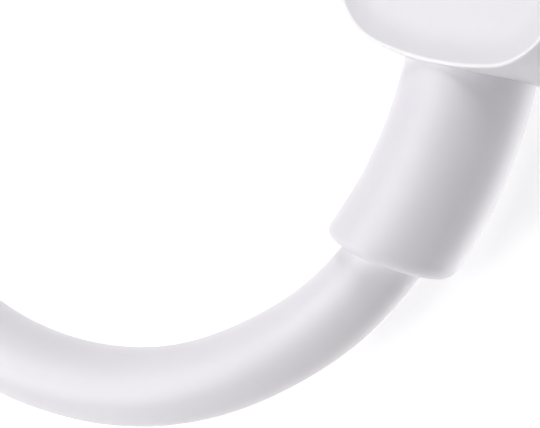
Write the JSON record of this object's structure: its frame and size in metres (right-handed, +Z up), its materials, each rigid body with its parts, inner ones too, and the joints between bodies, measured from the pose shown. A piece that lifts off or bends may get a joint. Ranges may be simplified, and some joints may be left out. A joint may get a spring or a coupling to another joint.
{
  "type": "charging cable",
  "caption": "Slim white charging cable: reversible plugs with dished, rimmed housings and metal tips, round flexible sleeves and a soft round cord with a neat coil.",
  "frame": {"origin": "middle of the underside of the near plug, housing and metal tip together, on the surface it lies on", "axes": "+Y along the near plug towards its metal tip, +X across it, +Z up out of its broad face; the cord leaves at -Y"},
  "size_m": [0.0951, 0.0606, 0.0076],
  "materials": {
    "white_housing": "satin moulded, faint cool tint",
    "inner_plastic": "natural moulded",
    "shell_steel": "bright deep-drawn",
    "spring_steel": "satin stamped",
    "can_steel": "dull tin plate",
    "insulator": "fine matt moulded",
    "gold_contacts": "gold plate",
    "board_green": "solder mask",
    "chip_ceramic": "fired ceramic",
    "sleeve_white": "soft satin moulded",
    "cord_white": "soft satin extruded",
    "wire_red": "extruded",
    "wire_black": "extruded",
    "wire_green": "extruded",
    "wire_white": "extruded",
    "wire_blue": "extruded"
  },
  "bodies": {
    "root": {"near_housing": "white_housing", "near_inner_mould": "inner_plastic", "near_plug_shell": "shell_steel", "near_contact_carrier": "insulator", "near_contacts_upper": "gold_contacts", "near_contacts_lower": "gold_contacts", "near_latch_plate": "spring_steel", "near_ground_springs": "spring_steel", "near_circuit_board": "board_green", "near_capacitors": "chip_ceramic", "near_shield_can_upper": "can_steel", "near_shield_can_lower": "can_steel", "near_strain_relief": "sleeve_white", "near_cord_lead": "cord_white", "near_wire_power": "wire_red", "near_wire_config": "wire_blue", "near_wire_ground": "wire_black", "near_wire_data_plus": "wire_green", "near_wire_data_minus": "wire_white", "far_housing": "white_housing", "far_inner_mould": "inner_plastic", "far_plug_shell": "shell_steel", "far_contact_carrier": "insulator", "far_contacts_upper": "gold_contacts", "far_contacts_lower": "gold_contacts", "far_latch_plate": "spring_steel", "far_ground_springs": "spring_steel", "far_circuit_board": "board_green", "far_capacitors": "chip_ceramic", "far_shield_can_upper": "can_steel", "far_shield_can_lower": "can_steel", "far_strain_relief": "sleeve_white", "far_cord_lead": "cord_white", "far_wire_power": "wire_red", "far_wire_config": "wire_blue", "far_wire_ground": "wire_black", "far_wire_data_plus": "wire_green", "far_wire_data_minus": "wire_white", "cord_free": "cord_white", "cord_coil": "cord_white", "cord_tail": "cord_white"}
  },
  "joints": []
}
